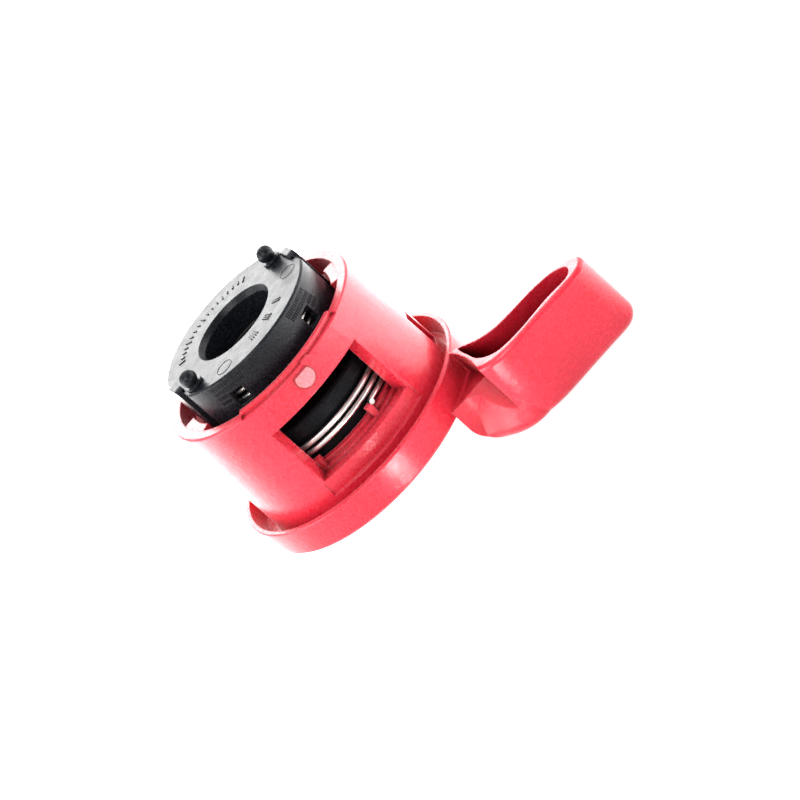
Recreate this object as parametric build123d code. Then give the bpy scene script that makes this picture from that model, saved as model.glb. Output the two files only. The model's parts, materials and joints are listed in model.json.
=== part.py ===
from build123d import *
import math
import os

# Twist-lever nozzle head. Millimetres, +Z along the flow towards the outlet.
# The origin is on the axis, in the plane of the flange's underside, which is
# also the inlet's mouth. The window is on the -Y side and the lever on +X.

# Lever housing: a cup with a flange, a window and a hollow lever
CUP_TOP_R = 21.0
CUP_FOOT_R = 21.45
CUP_TOP_Z = 28.4
MOUTH_R = 18.9
MOUTH_STEP_Z = 23.6
INNER_R = 17.9
FLOOR_TOP_Z = 4.0
FLOOR_RECESS_Z = 1.9
FLOOR_RECESS_R = 15.2
SEAT_RING_R = 17.0
SEAT_RING_INNER_R = 15.5
SEAT_RING_Z = 11.1
RIB_TOP_Z = 12.6
FLANGE_FOOT_R = 24.1
FLANGE_TOP_R = 24.65
FLANGE_TOP_Z = 6.34
FLANGE_WALL = 0.95
CHANNEL_FLOOR_Z = 2.4

# Front pad of the cup, with the window
FRONT = -87.0
PAD_HALF_ANGLE = 31.5
PAD_CURVE_R = 27.0
PAD_DEPTH_R = 20.45
WINDOW_HALF_ANGLE = 30.3
WINDOW_LOW_Z = 9.9
WINDOW_HIGH_Z = 22.7
LIP_OUTER_R = 19.8
LIP_TOP_Z = 29.0
SHOULDER_Z = 28.0
LAND_INNER_R = 16.85

# Lever
LEVER_TOP_Z = FLANGE_TOP_Z
LEVER_BOTTOM_Z = -8.4
LEVER_LEFT_X = 13.3
LEVER_TIP_X = 47.3
ELBOW_R = 5.5
TIP_R = 2.8
LEVER_FLOOR = 2.0
LEVER_LOW_EDGE = 2.3
LEVER_TOP_EDGE = 0.9
BELLY_LOW_EDGE = 1.8
NECK_SILL_Z = 1.6
BELLY_INNER_R = 20.6
NECK_SLOPE = 36.0

# Core tube, drum and inlet
TUBE_INNER_R = 9.3
TUBE_OUTER_R = 10.9
TUBE_SHOULDER_R = 11.6
TUBE_TOP_Z = 28.6
INLET_R = 8.2
INLET_DEPTH = 4.0
FILTER_Z = 4.5
BORE_R = 7.0
DRUM_R = 16.3
DRUM_LOW_Z = 16.6
DRUM_TOP_Z = 19.2
SKIRT_R = 15.2
SKIRT_WALL = 1.3
SKIRT_LOW_Z = 10.6
BEARING_GAP = 0.08

# Collar
COLLAR_R = 16.2
COLLAR_TOP_Z = 34.4
COLLAR_LOW_Z = 22.6
COLLAR_PLATE = 2.3
COLLAR_WALL = 1.2
FLAT_DISTANCE = 15.1
FLAT_ANGLE = 7.3
PEEP_ANGLE = 33.0
PEEP_HALF_ANGLE = 5.0
PEEP_LOW_Z = 28.2
PEEP_HIGH_Z = 31.2
KNURL_ROWS = 4
KNURL_STEPS = 15
KNURL_START = 22.0
KNURL_PITCH = 1.6
PIN_R = 13.8
PIN_ANGLES = (26.5, 208.5)
PIN_DEPTH = 2.0
PIN_SHANK_R = 1.0
PIN_BASE_R = 1.75
PIN_BALL_R = 1.6
PIN_BALL_RISE = 1.7
HOOK_R = 15.45
HOOK_WIDTH = 5.8
HOOK_THICKNESS = 0.9
HOOK_CORNER = 1.6
HOOK_TOP_Z = 35.2
HOOK_LIP = 0.65
HOOK_NOTCH = 14.7
OUTLET_R = 7.7
OUTLET_LIP_R = 8.4
SLEEVE_OUTER_R = TUBE_INNER_R - BEARING_GAP
SLEEVE_LOW_Z = 25.2

# Valve
SEAT_TOP_Z = 12.6
SEAT_THICKNESS = 1.4
SEAT_HOLE_R = 6.0
DISC_R = 7.4
STEM_R = 1.5
LIFT = 2.4
LEVER_TURN = 48.0
CAM_PIN_R = 1.0
CAM_PIN_Z = 7.4
CAM_PIN_REACH = 13.4
CAM_PIN_ANGLE = 40.0
CAM_GAP = 0.2

# Springs
TORSION_WIRE = 1.05
TORSION_R = 15.95
TORSION_PITCH = 1.5
TORSION_LOW_Z = 12.1
TORSION_START = -70.0
TORSION_LEG = 1.0
COLLAR_WIRE = 0.9
COLLAR_SPRING_R = 14.2


def polar(radius, angle):
    """A point in the XY plane at an azimuth in degrees."""
    a = math.radians(angle)
    return (radius * math.cos(a), radius * math.sin(a))


def ring(outer, inner, low, high):
    """A plain tube between two heights."""
    tube = Cylinder(outer, high - low, align=(Align.CENTER, Align.CENTER, Align.MIN))
    hole = Cylinder(inner, high - low + 2, align=(Align.CENTER, Align.CENTER, Align.MIN))
    return Pos(0, 0, low) * tube - Pos(0, 0, low - 1) * hole


def turned(points):
    """A solid of revolution about Z from (radius, height) points."""
    profile = make_face(Polyline([(r, 0, z) for r, z in points], close=True))
    return revolve(profile, Axis.Z)


def sector(outer, inner, start, end, low, high):
    """A ring sector between two azimuths, with radial end faces."""
    middle = (start + end) / 2
    half = Wire([
        Line(polar(inner, start), polar(outer, start)),
        ThreePointArc(polar(outer, start), polar(outer, middle), polar(outer, end)),
        Line(polar(outer, end), polar(inner, end)),
        ThreePointArc(polar(inner, end), polar(inner, middle), polar(inner, start)),
    ])
    return Pos(0, 0, low) * extrude(make_face(half), high - low)


def block(length, width, height, radius, angle, middle_z):
    """A box centred at a radius and azimuth, its length along the radius."""
    return Rot(0, 0, angle) * Pos(radius, 0, middle_z) * Box(length, width, height)


def coil(radius, pitch, turns, wire, low, start=0.0):
    """A round-wire helical spring, its first turn's centre at a height."""
    path = Rot(0, 0, start) * Pos(0, 0, low) * Helix(pitch, pitch * turns, radius)
    profile = Plane(path @ 0, z_dir=path % 0) * Circle(wire / 2)
    return sweep(profile, path=path, is_frenet=True)


def outline(points):
    """A closed flat face inside a smooth curve through points."""
    return make_face(Spline(points, periodic=True))


def cup():
    """The turned part of the housing: floor, wall, flange and its channel."""
    return turned([
        (TUBE_OUTER_R + BEARING_GAP, FLOOR_RECESS_Z),
        (FLOOR_RECESS_R, FLOOR_RECESS_Z),
        (FLOOR_RECESS_R, 0),
        (FLANGE_FOOT_R - 0.5, 0),
        (FLANGE_FOOT_R, 0.5),
        (FLANGE_TOP_R, FLANGE_TOP_Z - 0.2),
        (FLANGE_TOP_R - 0.2, FLANGE_TOP_Z),
        (FLANGE_TOP_R - FLANGE_WALL, FLANGE_TOP_Z),
        (FLANGE_FOOT_R - FLANGE_WALL, CHANNEL_FLOOR_Z),
        (CUP_FOOT_R, CHANNEL_FLOOR_Z),
        (CUP_TOP_R, CUP_TOP_Z - 0.3),
        (CUP_TOP_R - 0.3, CUP_TOP_Z),
        (MOUTH_R, CUP_TOP_Z),
        (MOUTH_R, MOUTH_STEP_Z + 1.0),
        (INNER_R, MOUTH_STEP_Z),
        (INNER_R, FLOOR_TOP_Z),
        (TUBE_OUTER_R + BEARING_GAP, FLOOR_TOP_Z),
    ])


def pad_relief():
    """What is taken off the round wall to leave the flatter front pad."""
    span = sector(CUP_FOOT_R + 1, 17.0, FRONT - PAD_HALF_ANGLE, FRONT + PAD_HALF_ANGLE,
                  CHANNEL_FLOOR_Z + 4.4, CUP_TOP_Z + 1)
    keep = Cylinder(PAD_CURVE_R, 80)
    centre = polar(PAD_DEPTH_R - PAD_CURVE_R, FRONT)
    return span - Pos(centre[0], centre[1], 15) * keep


def rim_lip(angle):
    """A raised inner lip with a lower shoulder outside it."""
    return sector(LIP_OUTER_R, MOUTH_R, angle - 35, angle + 35, CUP_TOP_Z - 0.5, LIP_TOP_Z)


def rim_shoulder(angle):
    return sector(CUP_TOP_R + 1, LIP_OUTER_R, angle - 35, angle + 35, SHOULDER_Z, CUP_TOP_Z + 1)


def pad_boss():
    """A D-shaped button on the pad, with its flat towards the rim."""
    face = Circle(1.95) - Pos(0, 2.35) * Rectangle(4, 2)
    button = extrude(face, 1.0)
    spot = polar(PAD_DEPTH_R - 0.75, FRONT + 0.8)
    turned_out = Plane(origin=(spot[0], spot[1], 26.0), x_dir=(*polar(1, FRONT + 90), 0),
                       z_dir=(*polar(1, FRONT), 0))
    return turned_out * button


def lever_pocket():
    """The slot in the lever's top."""
    slot = outline([
        (22.6, -15.2), (24.6, -17.7), (27.5, -20.1), (31.5, -21.2), (39.7, -22.1), (42.7, -23.6),
        (44.3, -26.3), (43.2, -28.7), (39.5, -28.7), (33.3, -29.0), (29.0, -28.9), (25.6, -27.7),
        (23.2, -24.3), (22.4, -19.5),
    ])
    depth = LEVER_TOP_Z - LEVER_BOTTOM_Z - LEVER_FLOOR
    return Pos(0, 0, LEVER_BOTTOM_Z + LEVER_FLOOR) * extrude(slot, depth + 1)


def lever_blade():
    """A web on the flange that sweeps out into a hollow thumb blade, with soft outer edges."""
    blade = outline([
        (20.0, -12.4), (23.4, -14.6), (26.8, -18.1), (31.5, -19.8), (39.8, -20.8), (44.6, -23.0),
        (47.2, -26.6), (45.6, -29.7), (41.5, -30.4), (33.5, -30.4), (27.8, -30.3), (23.2, -28.7),
        (20.9, -26.0), (19.5, -22.8), (17.2, -20.9), (13.0, -20.4), (8.0, -18.5), (8.5, -14.0),
        (14.0, -11.5),
    ])
    blank = Pos(0, 0, LEVER_BOTTOM_Z) * extrude(blade, LEVER_TOP_Z - LEVER_BOTTOM_Z)
    low_edges = blank.edges().filter_by_position(Axis.Z, LEVER_BOTTOM_Z - 0.1, LEVER_BOTTOM_Z + 0.1)
    shell = fillet(low_edges, LEVER_LOW_EDGE) - lever_pocket()
    top_edges = shell.edges().filter_by_position(Axis.Z, LEVER_TOP_Z - 0.1, LEVER_TOP_Z + 0.1)
    outer_edge = top_edges.sort_by(lambda e: e.length)[-1]
    return fillet(outer_edge, LEVER_TOP_EDGE)


def lever_belly():
    """The fuller lower corner beside the web, which draws in as it rises."""
    foot = outline([
        (24.5, -29.4), (20.8, -28.8), (17.6, -26.4), (15.0, -22.6), (13.0, -18.0), (16.5, -14.0),
        (23.0, -15.0), (28.5, -19.5), (30.5, -25.0),
    ])
    top = outline([
        (24.5, -28.0), (22.2, -26.9), (20.2, -24.0), (18.2, -20.6), (15.5, -17.5), (17.5, -15.0),
        (23.0, -16.0), (27.5, -20.0), (28.5, -25.0),
    ])
    belly = Pos(0, 0, LEVER_BOTTOM_Z) * loft([foot, Pos(0, 0, 10) * top])
    low_edges = belly.edges().filter_by_position(Axis.Z, LEVER_BOTTOM_Z - 0.1, LEVER_BOTTOM_Z + 0.1)
    return fillet(low_edges, BELLY_LOW_EDGE)


def lever_side():
    """The lever seen from the side: an elbow at the flange and a rounded tip."""
    side = Pos((LEVER_LEFT_X + LEVER_TIP_X) / 2, (LEVER_BOTTOM_Z + LEVER_TOP_Z) / 2)
    side = side * Rectangle(LEVER_TIP_X - LEVER_LEFT_X, LEVER_TOP_Z - LEVER_BOTTOM_Z)
    elbow = side.vertices().sort_by(lambda v: v.X + v.Y)[0]
    side = fillet(elbow, ELBOW_R)
    tip = side.vertices().sort_by(lambda v: v.X + v.Y)[-1]
    side = fillet(tip, TIP_R)
    return Plane.XZ * extrude(side, 60)


def neck_relief():
    """The hollow beside the web, which leaves the lever's belly standing below it."""
    wall = Spline((20.4, -13.0), (21.9, -23.6), (21.3, -29.0), (19.5, -36.0))
    back = Polyline((19.5, -36.0), (5.0, -36.0), (5.0, -13.0), (20.4, -13.0))
    side = make_face([wall, back])
    column = Pos(0, 0, LEVER_BOTTOM_Z) * extrude(side, 20)
    above = Pos(0, -20.5, NECK_SILL_Z) * Rot(NECK_SLOPE, 0, 0) * Pos(0, 0, 20) * Box(120, 120, 40)
    above = above + Pos(0, 0, NECK_SILL_Z + 20) * Box(120, 120, 40)
    return column & above


def lever_housing():
    """The red moulding that the thumb turns."""
    lever = lever_blade() + (lever_belly() - lever_pocket())
    lever = (lever & lever_side()) - neck_relief()
    body = cup() - pad_relief()
    body = body - rim_shoulder(FRONT) - rim_shoulder(FRONT + 180)
    body = body + rim_lip(FRONT) + rim_lip(FRONT + 180)
    lever = lever - Cylinder(BELLY_INNER_R, 40)
    above_floor = (Align.CENTER, Align.CENTER, Align.MIN)
    lever = lever - Cylinder(FLANGE_TOP_R - FLANGE_WALL / 2, 20, align=above_floor)
    body = body + lever
    body = body + pad_boss() + block(0.6, 1.8, 0.5, PAD_DEPTH_R - 0.2, FRONT + 7, SHOULDER_Z)
    for start in (-20, 178):
        body = body + sector(MOUTH_R + 0.4, LAND_INNER_R, start, start + 24, MOUTH_STEP_Z - 0.6, 27.9)
    window = sector(FLANGE_TOP_R, 14.0, FRONT - WINDOW_HALF_ANGLE, FRONT + WINDOW_HALF_ANGLE,
                    WINDOW_LOW_Z, WINDOW_HIGH_Z)
    side_slot = sector(22.4, 17.0, -17, -8, 5.9, 13.4)
    body = body - window - side_slot
    body = body + ring(SEAT_RING_R, SEAT_RING_INNER_R, FLOOR_TOP_Z, SEAT_RING_Z)
    body = body + ring(INNER_R + 0.4, SEAT_RING_R, FLOOR_TOP_Z, SEAT_RING_Z - 0.7)
    for start, end in ((-76.5, -72.8), (-120.0, -114.0)):
        body = body + sector(INNER_R + 0.2, 16.8, start, end, SEAT_RING_Z - 1, RIB_TOP_Z)
    return body


def cam_ring():
    """Two ramps, half a turn apart, that lift the cam pin as the lever turns."""
    inner = TUBE_SHOULDER_R + 0.25
    outer = 13.6
    low = CAM_PIN_Z - CAM_PIN_R - CAM_GAP
    base = ring(outer, inner, FLOOR_TOP_Z, low)
    middle_r = (inner + outer) / 2
    half_turn = LEVER_TURN / 2
    rise = LIFT / (2 * math.sin(math.radians(half_turn)) * middle_r)
    slope = math.degrees(math.atan(rise))
    for side in (0, 180):
        centre = CAM_PIN_ANGLE + side - half_turn
        wedge = sector(outer, inner, centre - half_turn - 12, centre + half_turn + 8,
                       FLOOR_TOP_Z, low + LIFT + 4)
        cut = Rot(0, 0, centre) * Pos(0, 0, low + LIFT / 2) * Rot(-slope, 0, 0)
        cut = cut * Pos(0, 0, 20) * Box(80, 80, 40)
        top = Pos(0, 0, low + LIFT + 10) * Box(80, 80, 20)
        base = base + (wedge - cut - top)
    return base


def core_drum():
    """Central tube with the drum that carries the torsion spring."""
    body = turned([
        (INLET_R, 0), (TUBE_OUTER_R - 0.4, 0), (TUBE_OUTER_R, 0.4),
        (TUBE_OUTER_R, FLOOR_TOP_Z + BEARING_GAP), (TUBE_SHOULDER_R, FLOOR_TOP_Z + BEARING_GAP),
        (TUBE_SHOULDER_R, FLOOR_TOP_Z + 1.0), (TUBE_OUTER_R, FLOOR_TOP_Z + 1.0),
        (TUBE_OUTER_R, DRUM_LOW_Z - 1.4), (SKIRT_R - SKIRT_WALL, DRUM_LOW_Z - 1.4),
        (SKIRT_R - SKIRT_WALL, SKIRT_LOW_Z), (SKIRT_R, SKIRT_LOW_Z), (SKIRT_R, DRUM_LOW_Z),
        (DRUM_R, DRUM_LOW_Z), (DRUM_R, DRUM_TOP_Z - 0.35), (DRUM_R - 0.35, DRUM_TOP_Z),
        (TUBE_OUTER_R, DRUM_TOP_Z), (TUBE_OUTER_R, TUBE_TOP_Z), (TUBE_INNER_R, TUBE_TOP_Z),
        (TUBE_INNER_R, SEAT_TOP_Z - SEAT_THICKNESS), (BORE_R, SEAT_TOP_Z - SEAT_THICKNESS),
        (BORE_R, INLET_DEPTH), (INLET_R, INLET_DEPTH),
    ])
    groove = ring(TUBE_OUTER_R + 1, TUBE_OUTER_R - 0.6, 0.55, 1.25)
    slot_high = CAM_PIN_Z + CAM_PIN_R + LIFT + 0.3
    slot_low = CAM_PIN_Z - CAM_PIN_R - 0.3
    slots = Rot(0, 0, CAM_PIN_ANGLE) * Pos(0, 0, (slot_low + slot_high) / 2)
    slots = slots * Box(2 * TUBE_OUTER_R + 1, 2 * CAM_PIN_R + 0.2, slot_high - slot_low)
    seal_groove = ring(TUBE_OUTER_R + 1, TUBE_OUTER_R - 1.0, 2.3, 3.6)
    inlet_groove = ring(INLET_R + 1.0, INLET_R - 1, 1.15, 2.25)
    return body - groove - slots - seal_groove - inlet_groove


def latch_hook(angle):
    """A hook leg that stops the collar at its upper end of travel."""
    height = HOOK_TOP_Z - DRUM_TOP_Z
    face = Pos(0, height / 2) * Rectangle(HOOK_WIDTH, height)
    face = fillet(face.vertices().group_by(Axis.Y)[-1], HOOK_CORNER)
    upright = Plane.YZ * extrude(face, 3 * HOOK_THICKNESS)
    leg = Pos(HOOK_R - HOOK_THICKNESS / 2, 0, DRUM_TOP_Z) * upright
    behind = block(4, HOOK_WIDTH + 1, height + 1, HOOK_R + HOOK_THICKNESS / 2 + 2, 0, DRUM_TOP_Z + height / 2)
    leg = leg - behind
    lip = Pos(HOOK_R - HOOK_THICKNESS / 2 - 0.6, 0, DRUM_TOP_Z) * upright
    lip = lip & block(1.5, HOOK_WIDTH, HOOK_LIP, HOOK_R - 0.3, 0, HOOK_TOP_Z - HOOK_LIP / 2)
    return Rot(0, 0, angle) * (leg + lip)


def collar_ring():
    """The spring-loaded black ring with two flats, an outlet bore and an inner sleeve."""
    body = turned([
        (OUTLET_R, SLEEVE_LOW_Z), (SLEEVE_OUTER_R, SLEEVE_LOW_Z),
        (SLEEVE_OUTER_R, COLLAR_TOP_Z - COLLAR_PLATE), (COLLAR_R - COLLAR_WALL, COLLAR_TOP_Z - COLLAR_PLATE),
        (COLLAR_R - COLLAR_WALL, COLLAR_LOW_Z), (COLLAR_R, COLLAR_LOW_Z),
        (COLLAR_R, COLLAR_TOP_Z - 0.3), (COLLAR_R - 0.3, COLLAR_TOP_Z),
        (OUTLET_LIP_R, COLLAR_TOP_Z), (OUTLET_R, COLLAR_TOP_Z - 1.0),
    ])
    height = COLLAR_TOP_Z - COLLAR_LOW_Z
    middle = (COLLAR_TOP_Z + COLLAR_LOW_Z) / 2
    for side in (FLAT_ANGLE, FLAT_ANGLE + 180):
        body = body - block(4, 24, height + 2, FLAT_DISTANCE + 2, side, middle)
        body = body - block(4, HOOK_WIDTH + 0.6, height + 2, HOOK_NOTCH + 2, side, middle)
    for side in (-1, 1):
        window = FRONT + side * PEEP_ANGLE
        body = body - sector(COLLAR_R + 1, 13.0, window - PEEP_HALF_ANGLE, window + PEEP_HALF_ANGLE,
                             PEEP_LOW_Z, PEEP_HIGH_Z)
        for row in range(KNURL_ROWS):
            for step in range(KNURL_STEPS):
                notch = KNURL_START + KNURL_PITCH * (step + row / 2)
                if row < 2 or notch > PEEP_ANGLE + PEEP_HALF_ANGLE + 1:
                    body = body - block(0.4, 0.24, 0.75, COLLAR_R, FRONT + side * notch, 33.2 - 1.05 * row)
    for pin in PIN_ANGLES:
        x, y = polar(PIN_R, pin)
        body = body - Pos(x, y, COLLAR_TOP_Z) * Cylinder(PIN_SHANK_R, 2 * PIN_DEPTH)
    seal_groove = ring(OUTLET_R + 0.9, OUTLET_R - 1, 28.2, 29.1)
    return body - seal_groove


def ball_pin(angle):
    """A guide pin with a ball end on a round base, pressed into the collar."""
    shank = Cylinder(PIN_SHANK_R, 2 * PIN_DEPTH)
    base = Cylinder(PIN_BASE_R, 0.5, align=(Align.CENTER, Align.CENTER, Align.MIN))
    ball = Pos(0, 0, PIN_BALL_RISE) * Sphere(PIN_BALL_R)
    return Pos(*polar(PIN_R, angle), COLLAR_TOP_Z) * (shank + base + ball)


def seat_ring():
    return turned([
        (SEAT_HOLE_R, SEAT_TOP_Z - SEAT_THICKNESS), (TUBE_INNER_R, SEAT_TOP_Z - SEAT_THICKNESS),
        (TUBE_INNER_R, SEAT_TOP_Z), (SEAT_HOLE_R + 0.6, SEAT_TOP_Z), (SEAT_HOLE_R, SEAT_TOP_Z - 0.5),
    ])


def poppet_disc():
    """The valve disc, with a hub pressed on the stem."""
    seal_top = SEAT_TOP_Z + 1.0
    return turned([
        (STEM_R, seal_top), (DISC_R, seal_top), (DISC_R, seal_top + 0.9),
        (3.0, seal_top + 1.3), (3.0, seal_top + 2.4), (STEM_R, seal_top + 2.4),
    ])


def poppet_seal():
    return ring(DISC_R - 0.2, STEM_R, SEAT_TOP_Z + 0.05, SEAT_TOP_Z + 1.0)


def stem_guide():
    """A three-armed guide for the stem's upper end, which also holds the poppet spring."""
    low = 20.4
    hub = ring(3.6, STEM_R + 0.06, low, low + 1.4)
    rim = ring(TUBE_INNER_R, TUBE_INNER_R - 0.7, low, low + 1.4)
    guide = hub + rim
    for arm in (90, 210, 330):
        guide = guide + block(5.6, 1.4, 1.4, 6.1, arm, low + 0.7)
    return guide


def poppet_stem():
    stem = Pos(0, 0, 5.9) * Cylinder(STEM_R, 16.6, align=(Align.CENTER, Align.CENTER, Align.MIN))
    cross = Rot(0, 0, CAM_PIN_ANGLE) * Pos(0, 0, CAM_PIN_Z) * Rot(0, 90, 0) * Cylinder(CAM_PIN_R, 8)
    return stem - cross


def cam_pin():
    pin = Rot(0, 90, 0) * Cylinder(CAM_PIN_R, 2 * CAM_PIN_REACH)
    return Rot(0, 0, CAM_PIN_ANGLE) * Pos(0, 0, CAM_PIN_Z) * pin


def inlet_filter():
    """A perforated screen across the inlet."""
    disc = Pos(0, 0, FILTER_Z) * Cylinder(BORE_R, 0.5)
    holes = [(0.0, 0.0)]
    for row, count in ((2.0, 6), (4.0, 12), (6.0, 18)):
        holes = holes + [polar(row, 360 / count * i) for i in range(count)]
    return disc - [Pos(x, y, FILTER_Z) * Cylinder(0.65, 2) for x, y in holes]


def o_ring(radius, wire, height):
    return Pos(0, 0, height) * Torus(radius, wire / 2)


def retaining_ring():
    """A circlip in the tube's lower groove, under the housing's floor."""
    clip = ring(12.7, TUBE_OUTER_R - 0.6, 0.6, 1.2) - block(4, 3.0, 3, 11.5, 90, 1)
    for ear in (-1, 1):
        spot = polar(12.6, 90 + ear * 10.5)
        clip = clip + Pos(*spot, 0.9) * Cylinder(1.1, 0.6) - Pos(*spot, 0.9) * Cylinder(0.5, 2)
    return clip


def torsion_spring():
    """The lever's return spring, wound round the drum's skirt."""
    turns = coil(TORSION_R, TORSION_PITCH, 2.25, TORSION_WIRE, TORSION_LOW_Z, start=TORSION_START)
    bend = Pos(*polar(TORSION_R, TORSION_START), TORSION_LOW_Z) * Sphere(TORSION_WIRE / 2)
    leg = Rot(0, 90, 0) * Cylinder(TORSION_WIRE / 2, TORSION_LEG)
    leg = Pos(TORSION_R + TORSION_LEG / 2, 0, TORSION_LOW_Z) * leg
    return turns + bend + Rot(0, 0, TORSION_START) * leg


def main():
    nodes = {
        "lever_housing": lever_housing(),
        "cam_ring": cam_ring(),
        "return_spring": torsion_spring(),
        "core_drum": core_drum(),
        "latch_hook_right": latch_hook(FLAT_ANGLE),
        "latch_hook_left": latch_hook(FLAT_ANGLE + 180),
        "valve_seat": seat_ring(),
        "stem_guide": stem_guide(),
        "inlet_filter": inlet_filter(),
        "inlet_seal": o_ring(INLET_R + 0.5, 0.9, 1.7),
        "body_seal": o_ring(TUBE_OUTER_R - 0.5, 1.0, 2.95),
        "thrust_washer": ring(14.6, TUBE_OUTER_R + 0.1, 1.25, 1.8),
        "retaining_ring": retaining_ring(),
        "collar_ring": collar_ring(),
        "ball_pin_right": ball_pin(PIN_ANGLES[0]),
        "ball_pin_left": ball_pin(PIN_ANGLES[1]),
        "outlet_seal": o_ring(OUTLET_R + 0.45, 0.8, 28.65),
        "collar_spring": coil(COLLAR_SPRING_R, 1.5, 7.9, COLLAR_WIRE, DRUM_TOP_Z + 0.5),
        "poppet_disc": poppet_disc(),
        "poppet_seal": poppet_seal(),
        "poppet_stem": poppet_stem(),
        "cam_pin": cam_pin(),
        "poppet_spring": coil(2.5, 1.35, 2.65, 0.4, SEAT_TOP_Z + 3.65),
    }
    os.makedirs("parts", exist_ok=True)
    for name, shape in nodes.items():
        export_step(shape, f"parts/{name}.step")


main()
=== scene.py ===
import json
import math

import bmesh
import bpy
from mathutils import Matrix, Vector


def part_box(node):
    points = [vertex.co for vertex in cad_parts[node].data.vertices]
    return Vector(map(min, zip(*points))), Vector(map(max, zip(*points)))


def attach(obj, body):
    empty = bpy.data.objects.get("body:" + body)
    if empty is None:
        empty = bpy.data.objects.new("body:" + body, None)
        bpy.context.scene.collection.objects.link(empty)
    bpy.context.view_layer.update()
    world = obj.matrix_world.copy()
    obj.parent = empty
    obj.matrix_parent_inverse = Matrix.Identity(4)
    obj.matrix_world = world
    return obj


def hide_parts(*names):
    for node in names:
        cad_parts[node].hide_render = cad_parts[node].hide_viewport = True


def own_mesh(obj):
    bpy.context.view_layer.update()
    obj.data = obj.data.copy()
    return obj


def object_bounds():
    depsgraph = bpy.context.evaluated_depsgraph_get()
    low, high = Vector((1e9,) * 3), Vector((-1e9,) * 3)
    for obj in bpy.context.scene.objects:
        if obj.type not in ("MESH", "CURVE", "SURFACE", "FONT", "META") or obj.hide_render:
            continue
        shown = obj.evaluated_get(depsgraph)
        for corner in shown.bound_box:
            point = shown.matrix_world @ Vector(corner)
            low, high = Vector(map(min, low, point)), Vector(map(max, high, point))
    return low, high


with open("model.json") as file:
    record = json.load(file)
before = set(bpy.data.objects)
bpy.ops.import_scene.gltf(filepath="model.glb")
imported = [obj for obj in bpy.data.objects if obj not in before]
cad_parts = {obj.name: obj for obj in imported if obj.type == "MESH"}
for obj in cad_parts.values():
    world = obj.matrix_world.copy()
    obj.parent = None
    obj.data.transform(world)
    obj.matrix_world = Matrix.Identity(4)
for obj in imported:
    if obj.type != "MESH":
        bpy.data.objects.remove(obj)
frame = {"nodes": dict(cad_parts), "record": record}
cad_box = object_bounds()

# The sizes of springs, boss and marks are in millimetres and degrees, and MM turns a length
# into metres. Materials, table, lights and the camera's place are in metres.
MM = 0.001
UP = Vector((0, 0, 1))

# Springs: the coil's radius, rise per turn, turns, first height and first azimuth, all on the
# wire's centre line, and the wire's diameter
RETURN_COIL = {"radius": 15.95, "pitch": 1.5, "turns": 2.25, "low": 12.1, "start": -70.0}
COLLAR_COIL = {"radius": 14.2, "pitch": 1.5, "turns": 7.9, "low": 19.7, "start": 0.0}
POPPET_COIL = {"radius": 2.5, "pitch": 1.35, "turns": 2.65, "low": 16.25, "start": 0.0}
RETURN_WIRE = 1.04
COLLAR_WIRE = 0.89
POPPET_WIRE = 0.39
COIL_STEPS = 72
WIRE_SIDES = 16

# The return spring's leg: how far its tip stands outside the coil, and the bend's radius
RETURN_LEG = 1.0
RETURN_BEND = 0.45
BEND_STEPS = 6

# The D-shaped button on the front pad, whose flat side faces the rim, with a dark ring of painted shade
# round its pale face
FRONT = -87.0
BOSS_SWING = 0.8
BOSS_DISTANCE = 19.7
BOSS_TALL = 1.0
BOSS_HEIGHT = 26.0
BOSS_RADIUS = 1.80
BOSS_FLAT = 1.10
BOSS_ROOT = -0.2
BOSS_FACE_RISE = 0.05
BOSS_SHADE_RISE = 0.03
BOSS_SHADE_WIDTH = 0.22
BOSS_STEPS = 48

# The collar's face and the height of the marks on it, in metres
COLLAR_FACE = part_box("collar_ring")[1][2]
MARK_RISE = 0.00012

# The marks: a scale on the far side, three groups of bars in front and two witness rings
SCALE_RADIUS = 12.4
SCALE_START = 58
SCALE_STEP = 6
SCALE_TICKS = 17
LONG_TICK = 1.5
SHORT_TICK = 0.9
TICKS_PER_LONG = 4
SCALE_TICK_WIDTH = 0.32
GROUP_RADIUS = 11.4
GROUP_STEP = 2.4
GROUPS = ((-47.5, 2), (-66.0, 3), (-86.0, 4))
GROUP_TICK_LENGTH = 1.9
GROUP_TICK_WIDTH = 0.30
WITNESS_DISTANCE = 13.0
WITNESS_AZIMUTHS = (-14.0, -120.0)
WITNESS_INNER = 1.55
WITNESS_OUTER = 1.67
WITNESS_STEPS = 40

# Edges sharper than these angles stay crisp
CAD_SHARP = 32
PIECE_SHARP = 40

# Noise: cells per metre, and the span of its values that is stretched to full contrast
FLOW_CELLS = 90
FLOW_RANGE = (0.35, 0.65)
STIPPLE_CELLS = 2600
SPECK_RANGE = (0.40, 0.62)
SPECK_SHARE = 0.32
WAVE_CELLS = 900
HAZE_CELLS = 500
GRAIN_RANGE = (0.3, 0.7)
SHINIER = 0.05
DULLER = 0.06
TARNISH_CELLS = 350
TARNISH_RANGE = (0.42, 0.70)
TARNISH_SHARE = 0.5
TARNISH_DETAIL = 4.0
LINE_ROUGHNESS = 0.6

# Painted light and shade: soft edges with a painted highlight, painted shade in deep cavities and painted
# bounce light in the channel between cup and flange, by radius
SHEEN_ROUGHNESS = 0.35
EDGE_RADIUS = 0.00035
EDGE_SAMPLES = 6
EDGE_HIGHLIGHT_COSINES = (0.99, 0.80)
CAVITY_REACH = 0.012
CAVITY_SAMPLES = 8
CAVITY_RANGE = (0.20, 0.80)
CHANNEL_FILL = 0.85
CHANNEL_INNER = (0.0198, 0.0208)
CHANNEL_OUTER = (0.0248, 0.0256)

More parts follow.
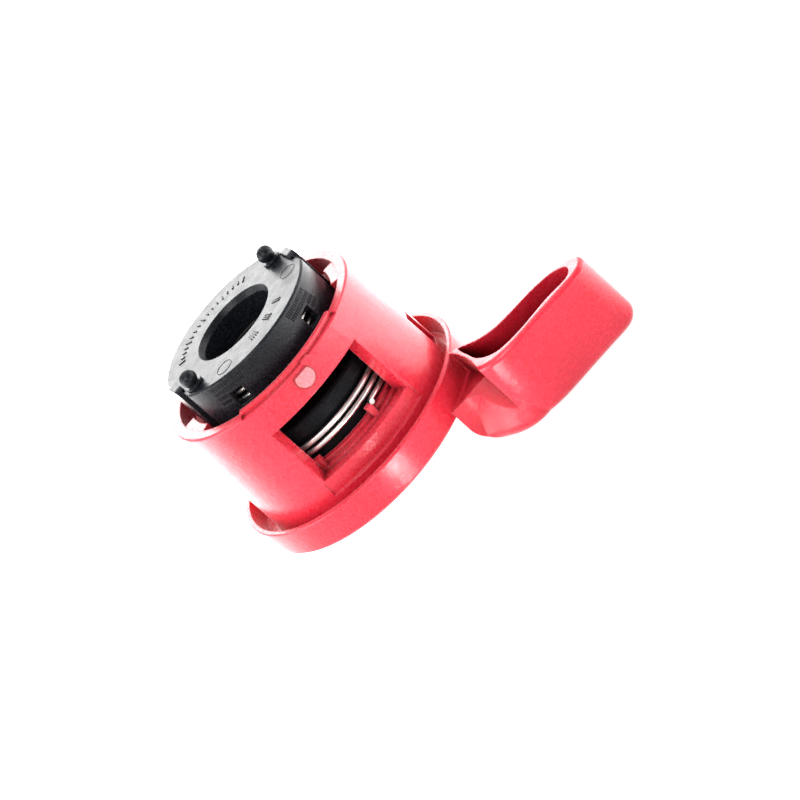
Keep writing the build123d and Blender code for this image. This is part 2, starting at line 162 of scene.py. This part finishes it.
# The light table: an even glow in front, brighter behind and beside, and two spots
# which the flange and the sill mirror
TABLE_HALF = 3.0
TABLE_LEVEL = cad_box[0][2]
TABLE_GREY = 0.2
TABLE_GLOW = 0.9
TABLE_BRIGHT = 5.0
TABLE_BEHIND = (-0.01, 0.05)
TABLE_BESIDE = (0.05, 0.08)
SPOT_FADE = (0.003, 0.007)
SPOTS = ((0.001, -0.044, 24.0), (0.001, -0.057, 18.0))

# The white tent: brightness by how far back and how far up a direction points
TENT_FRONT_TO_BACK = (-0.5, 0.6, 0.35, 1.6)
TENT_SIDE_TO_TOP = (0.45, 0.95, 1.0, 0.35)

# Soft lights: name, place, target, size and watts
LIGHTS = (
    ("top_light", (0.0, 0.02, 0.45), (0.01, -0.01, 0.01), 0.40, 0.7),
    ("left_light", (-0.42, -0.05, 0.12), (0.0, 0.0, 0.01), 0.30, 1.6),
    ("right_light", (0.45, 0.02, 0.14), (0.01, -0.01, 0.01), 0.30, 0.8),
    ("back_light", (0.0, 0.50, 0.26), (0.0, 0.0, 0.02), 0.40, 2.7),
    ("key_light", (-0.20, -0.40, 0.42), (0.01, -0.01, 0.01), 0.30, 1.8),
)

# The camera, as worked out from the photo; its lens and sensor are in millimetres
CAMERA_PLACE = (0.00911, -0.57270, 0.24625)
CAMERA_RIGHT = Vector((0.66697, -0.29269, -0.68519))
CAMERA_UP = Vector((0.74509, 0.26200, 0.61335))
CAMERA_LENS = 160.4
CAMERA_SENSOR = 36.0
CAMERA_NEAR = 0.01


# Shader nodes

def new_material(name):
    """A node material, its tree and its principled shader."""
    material = bpy.data.materials.new(name)
    material.use_nodes = True
    tree = material.node_tree
    return material, tree, tree.nodes["Principled BSDF"]


def object_coords(tree):
    """The piece's own coordinates, in metres."""
    return tree.nodes.new("ShaderNodeTexCoord").outputs["Object"]


def scaled_coords(tree, scale):
    """The piece's own coordinates, scaled along each axis."""
    mapping = tree.nodes.new("ShaderNodeMapping")
    mapping.inputs["Scale"].default_value = scale
    tree.links.new(object_coords(tree), mapping.inputs["Vector"])
    return mapping.outputs["Vector"]


def noise(tree, cells, detail=2.0, roughness=0.5, stretch=(1, 1, 1)):
    """Soft noise fixed to the piece."""
    texture = tree.nodes.new("ShaderNodeTexNoise")
    texture.inputs["Scale"].default_value = cells
    texture.inputs["Detail"].default_value = detail
    texture.inputs["Roughness"].default_value = roughness
    tree.links.new(scaled_coords(tree, stretch), texture.inputs["Vector"])
    return texture.outputs["Fac"]


def remap(tree, value, low, high, to_low, to_high):
    """Maps low..high to to_low..to_high, clamped."""
    node = tree.nodes.new("ShaderNodeMapRange")
    node.inputs["From Min"].default_value = low
    node.inputs["From Max"].default_value = high
    node.inputs["To Min"].default_value = to_low
    node.inputs["To Max"].default_value = to_high
    tree.links.new(value, node.inputs["Value"])
    return node.outputs["Result"]


def combine(tree, operation, first, second):
    """One value out of two, by a math operation."""
    node = tree.nodes.new("ShaderNodeMath")
    node.operation = operation
    tree.links.new(first, node.inputs[0])
    tree.links.new(second, node.inputs[1])
    return node.outputs["Value"]


def mix_color(tree, factor, first, second):
    """Blends two colours; each is a tuple or a socket."""
    node = tree.nodes.new("ShaderNodeMix")
    node.data_type = "RGBA"
    tree.links.new(factor, node.inputs["Factor"])
    for socket, value in ((node.inputs["A"], first), (node.inputs["B"], second)):
        if isinstance(value, tuple):
            socket.default_value = (*value, 1.0)
        else:
            tree.links.new(value, socket)
    return node.outputs["Result"]


def soft_edge(tree):
    """A normal that rounds every edge a little."""
    bevel = tree.nodes.new("ShaderNodeBevel")
    bevel.samples = EDGE_SAMPLES
    bevel.inputs["Radius"].default_value = EDGE_RADIUS
    return bevel.outputs["Normal"]


def edge_highlight_mask(tree, rounded, strength):
    """Painted highlight: rises to a strength along edges, where the rounded normal leaves the flat one."""
    geometry = tree.nodes.new("ShaderNodeNewGeometry")
    dot = tree.nodes.new("ShaderNodeVectorMath")
    dot.operation = "DOT_PRODUCT"
    tree.links.new(rounded, dot.inputs[0])
    tree.links.new(geometry.outputs["Normal"], dot.inputs[1])
    return remap(tree, dot.outputs["Value"], *EDGE_HIGHLIGHT_COSINES, 0.0, strength)


def openness(tree):
    """One on open surfaces and zero deep in slots and corners, where the colour turns to painted shade."""
    painted_shade = tree.nodes.new("ShaderNodeAmbientOcclusion")
    painted_shade.samples = CAVITY_SAMPLES
    painted_shade.only_local = True
    painted_shade.inputs["Distance"].default_value = CAVITY_REACH
    return remap(tree, painted_shade.outputs["AO"], *CAVITY_RANGE, 0.0, 1.0)


def channel_light(tree):
    """High in the channel between cup and flange, where bounced light fills the shade."""
    length = tree.nodes.new("ShaderNodeVectorMath")
    length.operation = "LENGTH"
    tree.links.new(scaled_coords(tree, (1, 1, 0)), length.inputs[0])
    radius = length.outputs["Value"]
    inside = remap(tree, radius, *CHANNEL_INNER, 0.0, CHANNEL_FILL)
    outside = remap(tree, radius, *CHANNEL_OUTER, CHANNEL_FILL, 0.0)
    return combine(tree, "MINIMUM", inside, outside)


def bump(tree, shader, layers, last=None):
    """Stacks (height socket, depth in metres) as bumps into the shader."""
    for height, depth in layers:
        node = tree.nodes.new("ShaderNodeBump")
        node.inputs["Distance"].default_value = depth
        node.inputs["Strength"].default_value = 1.0
        tree.links.new(height, node.inputs["Height"])
        if last is not None:
            tree.links.new(last, node.inputs["Normal"])
        last = node.outputs["Normal"]
    tree.links.new(last, shader.inputs["Normal"])


# Finishes

def plastic(name, color, light, dark, rough, stipple, edge, gloss=0.5, haze=0.0, painted_shade=None, broad=1.5):
    """Moulded plastic: fine stipple, faint flow shading and soft edges with a painted highlight.

    stipple is the grain's depth in metres and broad the share of the wider grain under it;
    edge is how far edges go to the light colour, a painted highlight; the colour given for slots and
    corners, if any, is painted shade deep inside.
    """
    material, tree, shader = new_material(name)
    shader.inputs["Specular IOR Level"].default_value = gloss
    shader.inputs["Sheen Weight"].default_value = haze
    shader.inputs["Sheen Roughness"].default_value = SHEEN_ROUGHNESS
    rounded = soft_edge(tree)
    fine = noise(tree, STIPPLE_CELLS)
    flow = remap(tree, noise(tree, FLOW_CELLS), *FLOW_RANGE, 0.0, 1.0)
    body = mix_color(tree, flow, dark, color)
    body = mix_color(tree, remap(tree, fine, *SPECK_RANGE, 0.0, SPECK_SHARE), body, light)
    # Painted highlight: edges go towards the light colour
    body = mix_color(tree, edge_highlight_mask(tree, rounded, edge), body, light)
    # Painted shade: slots and corners go to the dark colour, and their sheen fades with it
    if painted_shade is not None:
        unshaded = combine(tree, "MAXIMUM", openness(tree), channel_light(tree))
        body = mix_color(tree, unshaded, painted_shade, body)
        tree.links.new(remap(tree, unshaded, 0, 1, 0.0, haze), shader.inputs["Sheen Weight"])
    tree.links.new(body, shader.inputs["Base Color"])
    dullness = remap(tree, noise(tree, HAZE_CELLS), *GRAIN_RANGE, rough - SHINIER, rough + DULLER)
    tree.links.new(dullness, shader.inputs["Roughness"])
    bump(tree, shader, [(fine, stipple), (noise(tree, WAVE_CELLS), stipple * broad)], rounded)
    return material


def metal(name, color, dark, rough, lines_cells, depth, stretch, spread=0.16):
    """Drawn or turned metal: fine lines of a depth in metres, and a little tarnish."""
    material, tree, shader = new_material(name)
    lines = noise(tree, lines_cells, roughness=LINE_ROUGHNESS, stretch=(1, 1, stretch))
    tarnish = remap(tree, noise(tree, TARNISH_CELLS, TARNISH_DETAIL), *TARNISH_RANGE, 0.0, TARNISH_SHARE)
    tree.links.new(mix_color(tree, tarnish, color, dark), shader.inputs["Base Color"])
    tree.links.new(remap(tree, lines, *GRAIN_RANGE, rough, rough + spread), shader.inputs["Roughness"])
    shader.inputs["Metallic"].default_value = 1.0
    bump(tree, shader, [(lines, depth)])
    return material


# The red's last colour is painted shade, laid in slots and corners
RED = plastic("red_plastic", (0.74, 0.013, 0.036), (0.86, 0.08, 0.13), (0.66, 0.008, 0.024),
              0.28, 0.000030, 0.30, haze=0.25, painted_shade=(0.13, 0.001, 0.002))
PALE_RED = plastic("pale_red", (0.84, 0.24, 0.26), (0.90, 0.42, 0.44), (0.78, 0.16, 0.18),
                   0.45, 0.000030, 0.0, haze=0.30)
# deep_red colours the dark ring round the button's pale face: painted shade where the button meets the pad
DEEP_RED = plastic("deep_red", (0.36, 0.006, 0.012), (0.44, 0.02, 0.03), (0.30, 0.004, 0.008),
                   0.45, 0.000030, 0.0)
BLACK = plastic("black_plastic", (0.005, 0.006, 0.008), (0.035, 0.038, 0.050), (0.003, 0.003, 0.004),
                0.31, 0.000042, 0.30, gloss=0.21, broad=0.4)
# A darker, duller copy of the black plastic: painted shade for the drum in the cup's shade
SHADED_BLACK = plastic("black_painted_shade", (0.003, 0.003, 0.004), (0.016, 0.017, 0.022), (0.002, 0.002, 0.002),
               0.36, 0.000030, 0.20, gloss=0.07, broad=0.4)
RUBBER = plastic("seal_rubber", (0.014, 0.014, 0.014), (0.05, 0.05, 0.05), (0.009, 0.009, 0.009),
                 0.55, 0.000020, 0.30)
WIRE = metal("spring_steel", (0.74, 0.72, 0.69), (0.42, 0.40, 0.37), 0.30, 600, 0.0000001, 5, 0.06)
STEEL = metal("steel", (0.62, 0.62, 0.62), (0.40, 0.39, 0.38), 0.26, 3000, 0.0000015, 6)
BRASS = metal("brass", (0.74, 0.54, 0.24), (0.58, 0.40, 0.17), 0.30, 1800, 0.0000006, 6)
FINISH = {
    "red_plastic": RED,
    "pale_red": PALE_RED,
    "deep_red": DEEP_RED,
    "black_plastic": BLACK,
    "seal_rubber": RUBBER,
    "spring_steel": WIRE,
    "steel": STEEL,
    "brass": BRASS,
}


# The CAD nodes keep their shape

def finish_nodes():
    """Gives each node the finish of its slot, and the drum down in the cup a darker black of painted shade.
    """
    slots = {entry["node"]: entry["material_slot"] for entry in frame["record"]["subparts"]}
    for name, node in frame["nodes"].items():
        node.data.materials.clear()
        node.data.materials.append(SHADED_BLACK if name == "core_drum" else FINISH[slots[name]])
        for polygon in node.data.polygons:
            polygon.use_smooth = True
        node.data.set_sharp_from_angle(angle=math.radians(CAD_SHARP))


# Meshes

def radial(azimuth):
    """The unit vector outwards at an azimuth in degrees."""
    return Vector((math.cos(math.radians(azimuth)), math.sin(math.radians(azimuth)), 0))


def piece_from(build, name, finish):
    """Turns a bmesh into an object with a finish."""
    mesh = bpy.data.meshes.new(name)
    build.to_mesh(mesh)
    build.free()
    for polygon in mesh.polygons:
        polygon.use_smooth = True
    mesh.set_sharp_from_angle(angle=math.radians(PIECE_SHARP))
    mesh.materials.append(FINISH[finish])
    piece = bpy.data.objects.new(name, mesh)
    bpy.context.collection.objects.link(piece)
    return piece


def join_rings(build, first, second):
    """Quads all round between two rings with the same number of vertices."""
    count = len(first)
    for k in range(count):
        after = (k + 1) % count
        build.faces.new((first[k], first[after], second[after], second[k]))


def prism(build, floor_points, roof_points):
    """A closed block between two outlines with the same number of points."""
    low = [build.verts.new(point) for point in floor_points]
    high = [build.verts.new(point) for point in roof_points]
    build.faces.new(low[::-1])
    build.faces.new(high)
    join_rings(build, low, high)


# Springs, as smooth round wire

def helix_path(radius, pitch, turns, low, start):
    """Centre points of a coil, in metres, from its design sizes."""
    points = []
    for i in range(int(COIL_STEPS * turns) + 1):
        turn = i / COIL_STEPS
        points.append((radial(start + 360 * turn) * radius + UP * (low + pitch * turn)) * MM)
    return points


def wire_mesh(name, path, wire):
    """A closed round tube along a nearly level path; wire is its diameter in millimetres."""
    build = bmesh.new()
    spokes = [2 * math.pi * k / WIRE_SIDES for k in range(WIRE_SIDES)]
    rings = []
    for i, centre in enumerate(path):
        ahead = path[min(i + 1, len(path) - 1)]
        behind = path[max(i - 1, 0)]
        side = (ahead - behind).cross(UP).normalized()
        rise = side.cross(ahead - behind).normalized()
        rings.append([
            build.verts.new(centre + (side * math.cos(a) + rise * math.sin(a)) * wire / 2 * MM)
            for a in spokes
        ])
    for first, second in zip(rings, rings[1:]):
        join_rings(build, first, second)
    build.faces.new(rings[0][::-1])
    build.faces.new(rings[-1])
    bmesh.ops.recalc_face_normals(build, faces=build.faces)
    return piece_from(build, name, "spring_steel")


def return_spring():
    """The lever's torsion spring, with a short leg bent outwards; it turns with the housing."""
    out = radial(RETURN_COIL["start"])
    along = UP.cross(out)
    foot = out * RETURN_COIL["radius"] + UP * RETURN_COIL["low"]
    centre = foot + out * RETURN_BEND + along * RETURN_BEND
    leg = [foot + out * RETURN_LEG]
    for step in range(BEND_STEPS + 1):
        turn = math.radians(90 * step / BEND_STEPS)
        leg.append(centre - along * RETURN_BEND * math.cos(turn) - out * RETURN_BEND * math.sin(turn))
    # The bend leads into the coil, so the coil's first points are left out
    path = [point * MM for point in leg] + helix_path(**RETURN_COIL)[2:]
    wire = wire_mesh("return_spring_wire", path, RETURN_WIRE)
    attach(wire, "lever_turret")
    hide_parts("return_spring")


def squeezed_spring(name, coil, wire, node):
    """A compression spring as smooth wire, carried by the valve core in place of its node."""
    spring = wire_mesh(name, helix_path(**coil), wire)
    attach(spring, "valve_core")
    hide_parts(node)
    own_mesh(spring)


# Moulded marks

def face_block(build, corners, rise):
    """A thin block on the collar's face, from corners in millimetres."""
    points = [corner * MM for corner in corners]
    prism(build,
          [(point.x, point.y, COLLAR_FACE) for point in points],
          [(point.x, point.y, COLLAR_FACE + rise) for point in points])


def tick(build, radius, azimuth, length, width):
    """One raised bar on the collar's face, pointing at the axis."""
    along = radial(azimuth)
    centre = along * radius
    across = UP.cross(along)
    corners = [centre + along * (a * length / 2) + across * (b * width / 2)
               for a, b in ((-1, -1), (1, -1), (1, 1), (-1, 1))]
    face_block(build, corners, MARK_RISE)


def scale_marks():
    """A plain tick scale round the far side of the collar, and three tick groups in front."""
    build = bmesh.new()
    for step in range(SCALE_TICKS):
        length = SHORT_TICK if step % TICKS_PER_LONG else LONG_TICK
        tick(build, SCALE_RADIUS, SCALE_START + SCALE_STEP * step, length, SCALE_TICK_WIDTH)
    for azimuth, bars in GROUPS:
        for bar in range(bars):
            shift = GROUP_STEP * (bar - (bars - 1) / 2)
            tick(build, GROUP_RADIUS, azimuth + shift, GROUP_TICK_LENGTH, GROUP_TICK_WIDTH)
    marks = piece_from(build, "collar_marks", "black_plastic")
    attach(marks, "collar")


def ejector_rings():
    """The two faint witness rings of the mould's ejector pins."""
    build = bmesh.new()
    for azimuth in WITNESS_AZIMUTHS:
        middle = radial(azimuth) * WITNESS_DISTANCE
        for step in range(WITNESS_STEPS):
            here = radial(360 / WITNESS_STEPS * step)
            there = radial(360 / WITNESS_STEPS * (step + 1))
            corners = [middle + spoke * radius
                       for spoke, radius in ((here, WITNESS_INNER), (here, WITNESS_OUTER),
                                             (there, WITNESS_OUTER), (there, WITNESS_INNER))]
            face_block(build, corners, MARK_RISE / 2)
    rings = piece_from(build, "collar_witness_lines", "black_plastic")
    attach(rings, "collar")


def boss_piece(name, finish, margin, rise):
    """A D-shaped plate on the front pad's button, wider than the pale face by a margin."""
    outward = radial(FRONT)
    aside = UP.cross(outward)
    middle = radial(FRONT + BOSS_SWING) * BOSS_DISTANCE + outward * BOSS_TALL + UP * BOSS_HEIGHT

    def outline(height):
        points = []
        for step in range(BOSS_STEPS):
            turn = 2 * math.pi * step / BOSS_STEPS
            x = (BOSS_RADIUS + margin) * math.cos(turn)
            y = min((BOSS_RADIUS + margin) * math.sin(turn), BOSS_FLAT + margin)
            points.append((middle + aside * x + UP * y + outward * height) * MM)
        return points

    build = bmesh.new()
    prism(build, outline(BOSS_ROOT), outline(rise))
    plate = piece_from(build, name, finish)
    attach(plate, "lever_turret")


# Table, light and camera

def light_table():
    corners = ((-1, -1), (1, -1), (1, 1), (-1, 1))
    mesh = bpy.data.meshes.new("floor")
    mesh.from_pydata([(x * TABLE_HALF, y * TABLE_HALF, TABLE_LEVEL) for x, y in corners], [], [(0, 1, 2, 3)])
    plane = bpy.data.objects.new("floor", mesh)
    bpy.context.collection.objects.link(plane)
    material, tree, shader = new_material("floor")
    shader.inputs["Base Color"].default_value = (TABLE_GREY, TABLE_GREY, TABLE_GREY, 1)
    shader.inputs["Roughness"].default_value = 1.0
    shader.inputs["Emission Color"].default_value = (1, 1, 1, 1)
    coords = object_coords(tree)
    split = tree.nodes.new("ShaderNodeSeparateXYZ")
    tree.links.new(coords, split.inputs["Vector"])
    glow = remap(tree, split.outputs["Y"], *TABLE_BEHIND, TABLE_GLOW, TABLE_BRIGHT)
    beside = remap(tree, split.outputs["X"], *TABLE_BESIDE, TABLE_GLOW, TABLE_BRIGHT)
    glow = combine(tree, "MAXIMUM", glow, beside)
    for x, y, strength in SPOTS:
        away = tree.nodes.new("ShaderNodeVectorMath")
        away.operation = "DISTANCE"
        away.inputs[1].default_value = (x, y, TABLE_LEVEL)
        tree.links.new(coords, away.inputs[0])
        spot = remap(tree, away.outputs["Value"], *SPOT_FADE, strength, 0.0)
        glow = combine(tree, "MAXIMUM", glow, spot)
    tree.links.new(glow, shader.inputs["Emission Strength"])
    mesh.materials.append(material)


def tent():
    """A white light tent, darker on the camera's side and overhead."""
    world = bpy.data.worlds.new("studio")
    world.use_nodes = True
    tree = world.node_tree
    background = tree.nodes["Background"]
    coords = tree.nodes.new("ShaderNodeTexCoord")
    split = tree.nodes.new("ShaderNodeSeparateXYZ")
    tree.links.new(coords.outputs["Generated"], split.inputs["Vector"])
    behind = remap(tree, split.outputs["Y"], *TENT_FRONT_TO_BACK)
    overhead = remap(tree, split.outputs["Z"], *TENT_SIDE_TO_TOP)
    tree.links.new(combine(tree, "MULTIPLY", behind, overhead), background.inputs["Strength"])
    background.inputs["Color"].default_value = (1, 1, 1, 1)
    bpy.context.scene.world = world


def soft_light(name, place, target, size, watts):
    data = bpy.data.lights.new(name, "AREA")
    data.shape = "SQUARE"
    data.size = size
    data.energy = watts
    lamp = bpy.data.objects.new(name, data)
    bpy.context.collection.objects.link(lamp)
    lamp.location = place
    lamp.rotation_euler = (Vector(target) - Vector(place)).to_track_quat("-Z", "Y").to_euler()


def camera():
    back = CAMERA_RIGHT.cross(CAMERA_UP)
    data = bpy.data.cameras.new("camera")
    data.lens = CAMERA_LENS
    data.sensor_width = CAMERA_SENSOR
    data.clip_start = CAMERA_NEAR
    view = bpy.data.objects.new("camera", data)
    bpy.context.collection.objects.link(view)
    rows = [(CAMERA_RIGHT[i], CAMERA_UP[i], back[i], CAMERA_PLACE[i]) for i in range(3)]
    view.matrix_world = Matrix((*rows, (0, 0, 0, 1)))
    bpy.context.scene.camera = view


finish_nodes()
return_spring()
squeezed_spring("collar_spring_wire", COLLAR_COIL, COLLAR_WIRE,
                "collar_spring")
squeezed_spring("poppet_spring_wire", POPPET_COIL, POPPET_WIRE,
                "poppet_spring")
scale_marks()
ejector_rings()
boss_piece("boss_face", "pale_red", 0.0, BOSS_FACE_RISE)
# The dark ring round the pale face is painted shade
boss_piece("boss_shade_ring", "deep_red", BOSS_SHADE_WIDTH, BOSS_SHADE_RISE)
light_table()
tent()
for light in LIGHTS:
    soft_light(*light)
camera()
bpy.context.scene.view_settings.view_transform = "Standard"
